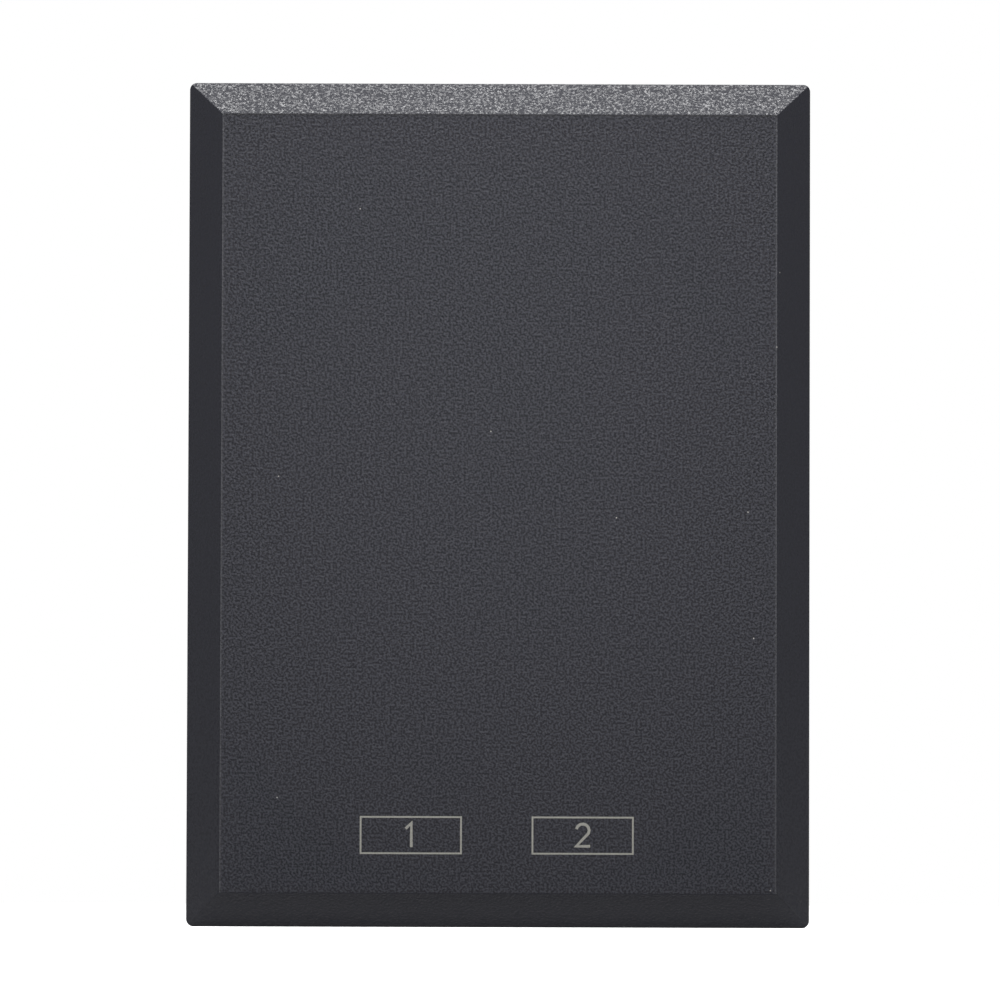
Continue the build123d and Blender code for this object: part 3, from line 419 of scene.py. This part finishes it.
frames = bmesh.new()
for x in frame_places:
    strip_frame(frames, x, frame_level, frame_width, frame_height, frame_line, ink_thickness)
add_piece("port_frames", finish_shape(frames, "port_frames"), ink_finish)

one = [(-0.5, 0.62), (0.05, 1.15), (0.05, -1.15)]
bow, bow_level = 0.62, 0.5
two = [
    (bow * math.cos(math.radians(turn)), bow_level + bow * math.sin(math.radians(turn)))
    for turn in (168, 140, 112, 84, 56, 28, 0, -28)
]
two += [(-0.62, -1.02), (0.72, -1.02)]
for number, strokes, x in (("1", one, frame_places[0]), ("2", two, frame_places[1])):
    figure = bmesh.new()
    spots = [(x - across, frame_level + rise) for across, rise in strokes]
    flat_run(figure, spots, numeral_line, ink_thickness, 1)
    figure_mesh = finish_shape(figure, "port_number_" + number)
    add_piece("port_number_" + number, figure_mesh, ink_finish)

# The circuit board: glass laminate under green solder resist. Its copper tracks show as
# paler, slightly raised runs, and white printed outlines mark where each part is soldered.
board_low, board_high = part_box("circuit_board")
board_front = board_low.y / MM
board_back = board_high.y / MM
resist_dark, resist_pale = (0.006, 0.060, 0.026), (0.012, 0.095, 0.042)
track_lift, outline_lift = 0.03, 0.02
outline_margin, outline_line = 0.3, 0.15
cloth_thread, polish_patch = 0.42, 2.5
cells_to_a_cloud, polish_play = 14, 0.07

board_finish, surface, place = start_finish("green_resist_laminate")
warp = cells(place, cloth_thread, detail=0.0, stretch=(1, 1, 0.25))
weft = cells(place, cloth_thread, detail=0.0, stretch=(0.25, 1, 1))
cloth = combine("ADD", warp, weft)
resist = blend_colours(spread(cloth, 0, 1, 0.7, 1.3), resist_dark, resist_pale)
feed(resist, surface.inputs["Base Color"])
feed(spread(cells(place, polish_patch), 0.22, 0.36), surface.inputs["Roughness"])
raise_grain(surface, cloth, 0.02)
dress(board_finish, "circuit_board")


def moulded(name, dark, pale, cell, depth, rough, shine=0.4):
    """Moulded plastic or glaze: a cloudy colour, a fine skin and an uneven polish."""
    finish, surface, place = start_finish(name)
    skin = cells(place, cell)
    cloud = spread(cells(place, cell * cells_to_a_cloud, detail=3.0), 0, 1)
    feed(blend_colours(cloud, dark, pale), surface.inputs["Base Color"])
    feed(spread(skin, rough - polish_play, rough + polish_play), surface.inputs["Roughness"])
    surface.inputs["Specular IOR Level"].default_value = shine
    raise_grain(surface, skin, depth)
    return finish


track_finish = moulded(
    "resist_over_copper", (0.022, 0.150, 0.066), (0.030, 0.185, 0.085),
    cell=0.5, depth=0.01, rough=0.28,
)
front_runs = (
    ([(10.85, -30.5), (10.85, -24), (13.5, -21.3), (13.5, -6)], 0.5),
    ([(5.85, -30.5), (5.85, -26), (8.6, -23.2), (8.6, -4.5), (11, -2)], 0.5),
    ([(-5.85, -30.5), (-5.85, -27), (-8.2, -24.6), (-12, -24.6)], 1.6),
    ([(-10.85, -30.5), (-10.85, -28), (-17, -26), (-21, -24)], 1.6),
    ([(4.2, -8.5), (6.4, -6.3), (6.4, 4), (8, 5.6)], 0.3),
    ([(-4.2, -8.5), (-5.8, -6.9), (-5.8, 6), (-2.4, 9.4), (3, 9.4)], 0.3),
    ([(0, 4.5), (0, 8.5), (3, 11.5)], 0.3),
    ([(-1.3, 33), (-1.3, 30), (-6, 27.2), (-8, 27.2)], 0.8),
    ([(1.3, 33), (1.3, 27), (3, 25.3)], 0.8),
    ([(-16, 2), (-16, 8), (-12.5, 11.5), (-12.5, 18)], 0.5),
    ([(-20.5, 2), (-20.5, 22), (-17.5, 25)], 0.8),
    ([(20, 4), (20, -12), (22.5, -14.5), (22.5, -28)], 0.3),
    ([(21, 4), (21, -11.5), (23.5, -14), (23.5, -28)], 0.3),
)
back_runs = (
    ([(10.85, -34.2), (14, -31), (14, -12), (18, -8), (18, 12)], 0.5),
    ([(5.85, -34.2), (5.85, -20), (2, -16), (2, 12), (6, 16)], 0.5),
    ([(-5.85, -34.2), (-5.85, -28), (-11, -22.8), (-11, -19)], 2.0),
    ([(-10.85, -34.2), (-14, -31), (-19, -26), (-19, -12)], 2.0),
    ([(-22, -2), (-22, 20), (-15, 27), (-2, 27), (-1.3, 33)], 1.2),
)
runs = bmesh.new()
for points, width in front_runs:
    flat_run(runs, points, width, board_front - track_lift, -1)
for points, width in back_runs:
    flat_run(runs, points, width, board_back + track_lift, 1)
add_piece("board_tracks", finish_shape(runs, "board_tracks"), track_finish)

outline_finish = moulded(
    "board_print_white", (0.60, 0.60, 0.56), (0.72, 0.72, 0.68),
    cell=0.15, depth=0.01, rough=0.6,
)
outlined = (
    "sensor_terminal_body",
    "relay_terminal_body",
    "relay_base",
    "switch_base",
    "radio_board",
    "capacitor_base",
    "regulator_body",
    "optocoupler_body",
    "transistor_body",
    "diode_body",
)
outlines = bmesh.new()
for node in outlined:
    low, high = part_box(node)
    left = max(low.x / MM - outline_margin, board_low.x / MM + outline_line)
    right_end = min(high.x / MM + outline_margin, board_high.x / MM - outline_line)
    bottom = max(low.z / MM - outline_margin, board_low.z / MM + outline_line)
    top_end = min(high.z / MM + outline_margin, board_high.z / MM - outline_line)
    strip_frame(
        outlines,
        (left + right_end) / 2,
        (bottom + top_end) / 2,
        right_end - left,
        top_end - bottom,
        outline_line,
        board_front - outline_lift,
    )
outline_mesh = finish_shape(outlines, "board_outlines")
add_piece("board_outlines", outline_mesh, outline_finish)

# Four pan head screws, zinc plated, with a pressed cross and a coarse thread that cuts its
# own way into the plastic posts.
head_radius = 1.9
screw_head_rings = ((1.0, 0.0), (1.0, 0.25), (0.97, 0.55), (0.88, 0.82), (0.70, 0.96), (0.5, 1.0))
crown_rings = ((0.4, 1.0), (0.3, 1.0), (0.2, 1.0), (0.1, 1.0))
cross_reach, cross_width, cross_depth = 0.62, 0.20, 0.55
cross_taper = 0.3
thread_core, thread_pitch, thread_ridge, thread_sharpness = 0.72, 0.75, 0.2, 2.2
thread_sides = 24
dull_patch_size, brighter, duller = 1.4, 0.05, 0.07


def rolled_metal(name, dark, pale, rough, grain_run=None, cell=0.16, depth=0.006):
    """Bright sheet, wire or strip: lines from rolling, and a few duller patches."""
    finish, surface, place = start_finish(name)
    surface.inputs["Metallic"].default_value = 1.0
    lines = cells(place, cell, detail=4.0, stretch=grain_run)
    patches = cells(place, dull_patch_size, detail=3.0)
    feed(blend_colours(spread(patches, 0, 1), dark, pale), surface.inputs["Base Color"])
    drawn = spread(lines, rough - brighter, rough + duller)
    worn = spread(patches, -brighter, duller)
    feed(combine("ADD", worn, drawn), surface.inputs["Roughness"])
    raise_grain(surface, lines, depth)
    return finish


def add_ring(shape, centre, spots):
    """A ring of points, given in millimetres round a centre x, z."""
    return [
        shape.verts.new(((centre[0] + x) * MM, y * MM, (centre[1] + z) * MM)) for x, y, z in spots
    ]


def skin_rings(shape, rings, towards_front=False):
    """Closes a row of rings into one skin, outside facing outwards."""
    for first, second in zip(rings, rings[1:]):
        for j in range(len(first)):
            k = (j + 1) % len(first)
            if towards_front:
                shape.faces.new((first[j], first[k], second[k], second[j]))
            else:
                shape.faces.new((first[j], second[j], second[k], first[k]))


def ridged_rod(shape, centre, low, high, core, ridge, pitch, sides, sharp, turn_steps=8):
    """A rod along y with one continuous helical ridge, as on a thread or a winding."""
    count = max(int((high - low) / pitch * turn_steps), 2)
    rings = []
    for i in range(count + 1):
        y = low + (high - low) * i / count
        fade = min(1.0, (y - low) / pitch, (high - y) / pitch)
        spots = []
        for j in range(sides):
            turn = ((y - low) / pitch + j / sides) % 1.0
            rise = max(0.0, 1 - abs(2 * turn - 1) * sharp) if sharp else math.sin(math.pi * turn)
            radius = core + ridge * rise * fade
            angle = 2 * math.pi * j / sides
            spots.append((radius * math.cos(angle), y, radius * math.sin(angle)))
        rings.append(add_ring(shape, centre, spots))
    skin_rings(shape, rings)
    shape.faces.new(rings[0])
    shape.faces.new(tuple(reversed(rings[-1])))


def pan_head(shape, centre, seat, radius, height, sides=48):
    """The head seen from the front: rounded over, with a cross pressed into its crown."""
    rings = []
    for share, rise in screw_head_rings + crown_rings:
        spots = []
        for j in range(sides):
            angle = 2 * math.pi * (j + 0.5) / sides
            x, z = share * math.cos(angle), share * math.sin(angle)
            pressed = min(abs(x), abs(z)) < cross_width / 2 and share < cross_reach
            sunk = cross_depth * (1 - cross_taper * share) if pressed else 0
            spots.append((radius * x, seat - height * (rise - sunk), radius * z))
        rings.append(add_ring(shape, centre, spots))
    skin_rings(shape, rings, towards_front=True)
    shape.faces.new(rings[-1])
    shape.faces.new(tuple(reversed(rings[0])))


def smooth_over(mesh, angle=35):
    """Rounded skins look smooth, and edges sharper than this many degrees stay crisp."""
    for face in mesh.polygons:
        face.use_smooth = True
    mesh.set_sharp_from_angle(angle=math.radians(angle))


screw_low, screw_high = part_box("board_screws")
screws = bmesh.new()
for sx in (-1, 1):
    for sz in (-1, 1):
        spot = (sx * (screw_high.x / MM - head_radius), sz * (screw_high.z / MM - head_radius))
        pan_head(screws, spot, board_front, head_radius, board_front - screw_low.y / MM)
        ridged_rod(
            screws,
            spot,
            board_front,
            screw_high.y / MM,
            thread_core,
            thread_ridge,
            thread_pitch,
            thread_sides,
            thread_sharpness,
        )
screw_finish = rolled_metal(
    "zinc_plated_screw", (0.40, 0.41, 0.43), (0.52, 0.52, 0.53), rough=0.32
)
screw_mesh = finish_shape(screws, "cross_head_screws")
smooth_over(screw_mesh)
cross_head_screws = add_piece("cross_head_screws", screw_mesh, screw_finish)
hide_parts("board_screws")

# Solder, drawn up round every pin on the back of the board as a small bright cone. Each
# cone is a little out of round, as hand and wave soldering leave it.
solder_foot, solder_height = 1.05, 0.95
solder_sides, solder_unevenness = 20, 0.05
solder_shares = ((1.0, 0.0), (0.78, 0.12), (0.62, 0.30), (0.52, 0.55), (0.46, 0.8), (0.40, 1.0))
pin_stands_out, pin_spacing = 0.2, 1.4
pin_nodes = (
    "sensor_terminal_contacts",
    "relay_terminal_contacts",
    "relay_coil_pins",
    "relay_open_contact",
    "relay_closed_contact",
    "relay_yoke",
    "switch_leads",
)


def pins_through_board(node):
    """The middle of each pin end that stands out of the back of the board."""
    found = []
    for vertex in parts[node].data.vertices:
        x, y, z = (value / MM for value in vertex.co)
        if y < board_back + pin_stands_out:
            continue
        for group in found:
            if math.hypot(group[0][0] - x, group[0][1] - z) < pin_spacing:
                group.append((x, z))
                break
        else:
            found.append([(x, z)])
    return [tuple((min(along) + max(along)) / 2 for along in zip(*group)) for group in found]


solder = bmesh.new()
for node in pin_nodes:
    for middle in pins_through_board(node):
        rings = []
        for share, rise in solder_shares:
            spots = []
            for j in range(solder_sides):
                angle = 2 * math.pi * j / solder_sides
                swell = 1 + solder_unevenness * math.sin(2 * angle + middle[0])
                radius = solder_foot * share * swell
                level = board_back + solder_height * rise
                spots.append((radius * math.cos(angle), level, radius * math.sin(angle)))
            rings.append(add_ring(solder, middle, spots))
        skin_rings(solder, rings)
        solder.faces.new(tuple(reversed(rings[-1])))
solder_finish = rolled_metal(
    "solder", (0.60, 0.60, 0.61), (0.74, 0.74, 0.74),
    rough=0.2, cell=0.35, depth=0.02,
)
solder_mesh = finish_shape(solder, "solder_joints")
smooth_over(solder_mesh, 60)
add_piece("solder_joints", solder_mesh, solder_finish)

# The pairing button: the same black plastic moulded smoother than the case, held behind
# the front by its collar and worn a little brighter in soft patches.
button_black, button_touched = (0.030, 0.030, 0.033), (0.044, 0.044, 0.047)
button_grain, touched_patch = 0.14, 3.0
button_finish, surface, place = start_finish("satin_black_button")
skin = cells(place, button_grain, detail=1.0)
touched = spread(cells(place, touched_patch, detail=3.0), 0, 1)
feed(blend_colours(touched, button_black, button_touched), surface.inputs["Base Color"])
feed(spread(skin, 0.34, 0.44), surface.inputs["Roughness"])
raise_grain(surface, skin, 0.02)
dress(button_finish, "pairing_button")

# The light guide is a clear moulded rod, and the status light under it a small body with
# a milky lens.
guide_hazy, guide_clear = (0.86, 0.89, 0.89), (0.94, 0.95, 0.95)
haze_size = 0.5
clear_finish, surface, place = start_finish("clear_guide_plastic")
haze = cells(place, haze_size, detail=3.0)
surface.inputs["Transmission Weight"].default_value = 1.0
surface.inputs["IOR"].default_value = 1.49
feed(blend_colours(spread(haze, 0, 1), guide_hazy, guide_clear), surface.inputs["Base Color"])
feed(spread(haze, 0.10, 0.24), surface.inputs["Roughness"])
raise_grain(surface, haze, 0.01)
dress(clear_finish, "light_guide")
milky = moulded(
    "milky_lens", (0.66, 0.66, 0.60), (0.78, 0.77, 0.70),
    cell=0.1, depth=0.01, rough=0.3,
)
dress(milky, "status_light")

# The two push-in terminals: black moulded blocks let into the bottom wall, with tinned
# contacts, stainless clamp springs and a bright release button over each wire hole.
terminal_finish = moulded(
    "terminal_black", (0.030, 0.030, 0.032), (0.052, 0.052, 0.055),
    cell=0.12, depth=0.015, rough=0.4,
)
release_finish = moulded(
    "release_orange", (0.62, 0.20, 0.025), (0.76, 0.28, 0.045),
    cell=0.15, depth=0.01, rough=0.33,
)
tinned_finish = rolled_metal(
    "tinned_copper", (0.58, 0.58, 0.57), (0.70, 0.70, 0.69),
    rough=0.28, grain_run=(1, 1, 0.15),
)
spring_finish = rolled_metal(
    "rolled_spring_strip", (0.50, 0.48, 0.45), (0.63, 0.61, 0.57),
    rough=0.25, grain_run=(0.12, 1, 1),
)
dress(terminal_finish, "sensor_terminal_body", "relay_terminal_body")
dress(tinned_finish, "sensor_terminal_contacts", "relay_terminal_contacts")


def flexing_spring(node, finish):
    """The spring strip as it is in the solids, copied into a piece of its own in this finish."""
    shape = parts[node].data.copy()
    shape.name = node + "_strip"
    strip = add_piece(node + "_strip", shape, finish)
    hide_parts(node)
    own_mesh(strip)


for port in ("sensor", "relay"):
    for side in ("left", "right"):
        dress(release_finish, f"{port}_release_button_{side}")
        flexing_spring(
            f"{port}_clamp_spring_{side}",
            spring_finish,
        )

# The supply socket: a folded and plated steel shell round a black tongue with five gilt
# contacts, let into the top wall. The lids of the switch, the module and the crystal are
# the same plated sheet.
plated_finish = rolled_metal(
    "bright_plated_sheet", (0.58, 0.58, 0.57), (0.70, 0.70, 0.68),
    rough=0.17, grain_run=(0.1, 1, 1),
)
black_insert = moulded(
    "black_insert_plastic", (0.014, 0.014, 0.015), (0.026, 0.026, 0.028),
    cell=0.08, depth=0.01, rough=0.38,
)
gilt_finish = rolled_metal(
    "gilt_contact", (0.72, 0.50, 0.18), (0.86, 0.66, 0.30),
    rough=0.2, grain_run=(1, 1, 0.1), cell=0.05,
)
dress(plated_finish, "supply_socket_shell", "switch_cover", "radio_shield", "radio_crystal")
dress(black_insert, "supply_socket_insulator", "switch_base", "switch_plunger", "capacitor_base")
dress(gilt_finish, "supply_socket_contacts")

# The push switch's snap dome: a thin cap stamped from plated spring steel, which lies
# loose in the switch's well and flattens under the plunger.
flexing_spring(
    "switch_dome", plated_finish
)

# The relay: a blue cover and base, an iron yoke, core and hinged armature, and a bobbin
# wound with enamelled copper. Silver contacts sit on the blade and on the two fixed strips.
relay_blue = moulded(
    "relay_blue", (0.012, 0.050, 0.190), (0.020, 0.075, 0.260),
    cell=0.2, depth=0.01, rough=0.26, shine=0.5,
)
iron_finish = rolled_metal(
    "nickel_plated_iron", (0.42, 0.42, 0.42), (0.55, 0.55, 0.54),
    rough=0.34, grain_run=(1, 0.15, 1),
)
bobbin_cream = moulded(
    "bobbin_cream", (0.68, 0.64, 0.54), (0.80, 0.77, 0.68),
    cell=0.2, depth=0.01, rough=0.45,
)
silver_finish = rolled_metal(
    "silver_contact_alloy", (0.66, 0.64, 0.60), (0.80, 0.78, 0.74),
    rough=0.22, cell=0.08,
)
dress(relay_blue, "relay_base", "relay_cover")
dress(iron_finish, "relay_yoke", "relay_core", "relay_armature")
dress(bobbin_cream, "relay_bobbin")
dress(tinned_finish, "relay_coil_pins")
dress(spring_finish, "relay_return_spring", "relay_blade")
dress(silver_finish, "relay_moving_contact", "relay_open_contact", "relay_closed_contact")

wire_width = 0.18
winding_sides, steps_to_a_turn = 40, 5
winding_low, winding_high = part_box("relay_winding")
winding_radius = (winding_high.x - winding_low.x) / 2 / MM
winding_middle = (
    (winding_low.x + winding_high.x) / 2 / MM,
    (winding_low.z + winding_high.z) / 2 / MM,
)
turns = bmesh.new()
ridged_rod(
    turns,
    winding_middle,
    winding_low.y / MM,
    winding_high.y / MM,
    winding_radius - wire_width / 2,
    wire_width / 2,
    wire_width,
    winding_sides,
    0,
    steps_to_a_turn,
)
copper_finish = rolled_metal(
    "enamelled_copper", (0.42, 0.13, 0.04), (0.62, 0.24, 0.09),
    rough=0.24, grain_run=(1, 0.2, 1), cell=0.12,
)
turns_mesh = finish_shape(turns, "winding_turns")
smooth_over(turns_mesh, 70)
winding_turns = add_piece("winding_turns", turns_mesh, copper_finish)
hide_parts("relay_winding")

# The radio module: a black board with half-round plated edges, a plated steel lid over its
# chip and crystal, and a folded gilt copper aerial at its free end.
module_low, module_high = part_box("radio_board")
lid_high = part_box("radio_shield")[1]
feed_gap, fold_gap, end_margin, side_margin = 0.4, 2.2, 0.7, 1.2
aerial_fed = lid_high.x / MM + feed_gap
aerial_near = lid_high.x / MM + fold_gap
aerial_far = module_high.x / MM - end_margin
aerial_low = module_low.z / MM + side_margin
aerial_high = module_high.z / MM - side_margin
aerial_folds, aerial_width = 5, 0.5
radio_black = moulded(
    "black_resist", (0.006, 0.007, 0.012), (0.014, 0.016, 0.024),
    cell=0.6, depth=0.01, rough=0.3,
)
dress(radio_black, "radio_board")

fold = (aerial_high - aerial_low) / (2 * aerial_folds)
path = [(aerial_fed, aerial_low)]
for i in range(2 * aerial_folds):
    end = aerial_far if i % 2 == 0 else aerial_near
    path += [(end, aerial_low + fold * i), (end, aerial_low + fold * i + fold)]
aerial = bmesh.new()
flat_run(aerial, path[:-1], aerial_width, module_low.y / MM - track_lift, -1)
aerial_finish = rolled_metal(
    "gilt_aerial", (0.66, 0.45, 0.16), (0.80, 0.60, 0.26),
    rough=0.26, cell=0.1,
)
add_piece("radio_aerial", finish_shape(aerial, "radio_aerial"), aerial_finish)

# The smaller parts: an aluminium can with a black mark on the side of its minus lead,
# moulded chips with tinned leads, and glazed chip resistors and capacitors.
can_dark, can_pale, can_mark = (0.62, 0.63, 0.64), (0.74, 0.75, 0.76), (0.02, 0.02, 0.022)
mark_starts = 0.72
drawn_line = 0.12
can_low, can_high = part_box("capacitor_can")
can_finish, surface, place = start_finish("drawn_aluminium")
surface.inputs["Metallic"].default_value = 0.9
drawn = cells(place, drawn_line, detail=4.0, stretch=(1, 0.1, 1))
mark_from = can_low.x + mark_starts * (can_high.x - can_low.x)
marked = combine("GREATER_THAN", split_ways(place)["X"], mark_from)
bare = blend_colours(spread(drawn, 0, 1), can_dark, can_pale)
feed(blend_colours(marked, bare, can_mark), surface.inputs["Base Color"])
feed(spread(drawn, 0.24, 0.40), surface.inputs["Roughness"])
raise_grain(surface, drawn, 0.006)
dress(can_finish, "capacitor_can")

chip_black = moulded(
    "moulding_compound", (0.012, 0.012, 0.013), (0.024, 0.024, 0.025),
    cell=0.06, depth=0.012, rough=0.55,
)
glaze = moulded(
    "resistor_glaze", (0.014, 0.014, 0.014), (0.03, 0.03, 0.03),
    cell=0.05, depth=0.005, rough=0.25,
)
ceramic = moulded(
    "fired_ceramic", (0.34, 0.23, 0.13), (0.47, 0.34, 0.21),
    cell=0.05, depth=0.01, rough=0.55,
)
for package in ("regulator", "optocoupler", "transistor", "diode"):
    dress(chip_black, package + "_body")
    dress(tinned_finish, package + "_leads")
dress(chip_black, "radio_chip")
dress(tinned_finish, "switch_leads", "chip_ends")
dress(glaze, "chip_resistors")
dress(ceramic, "chip_capacitors")
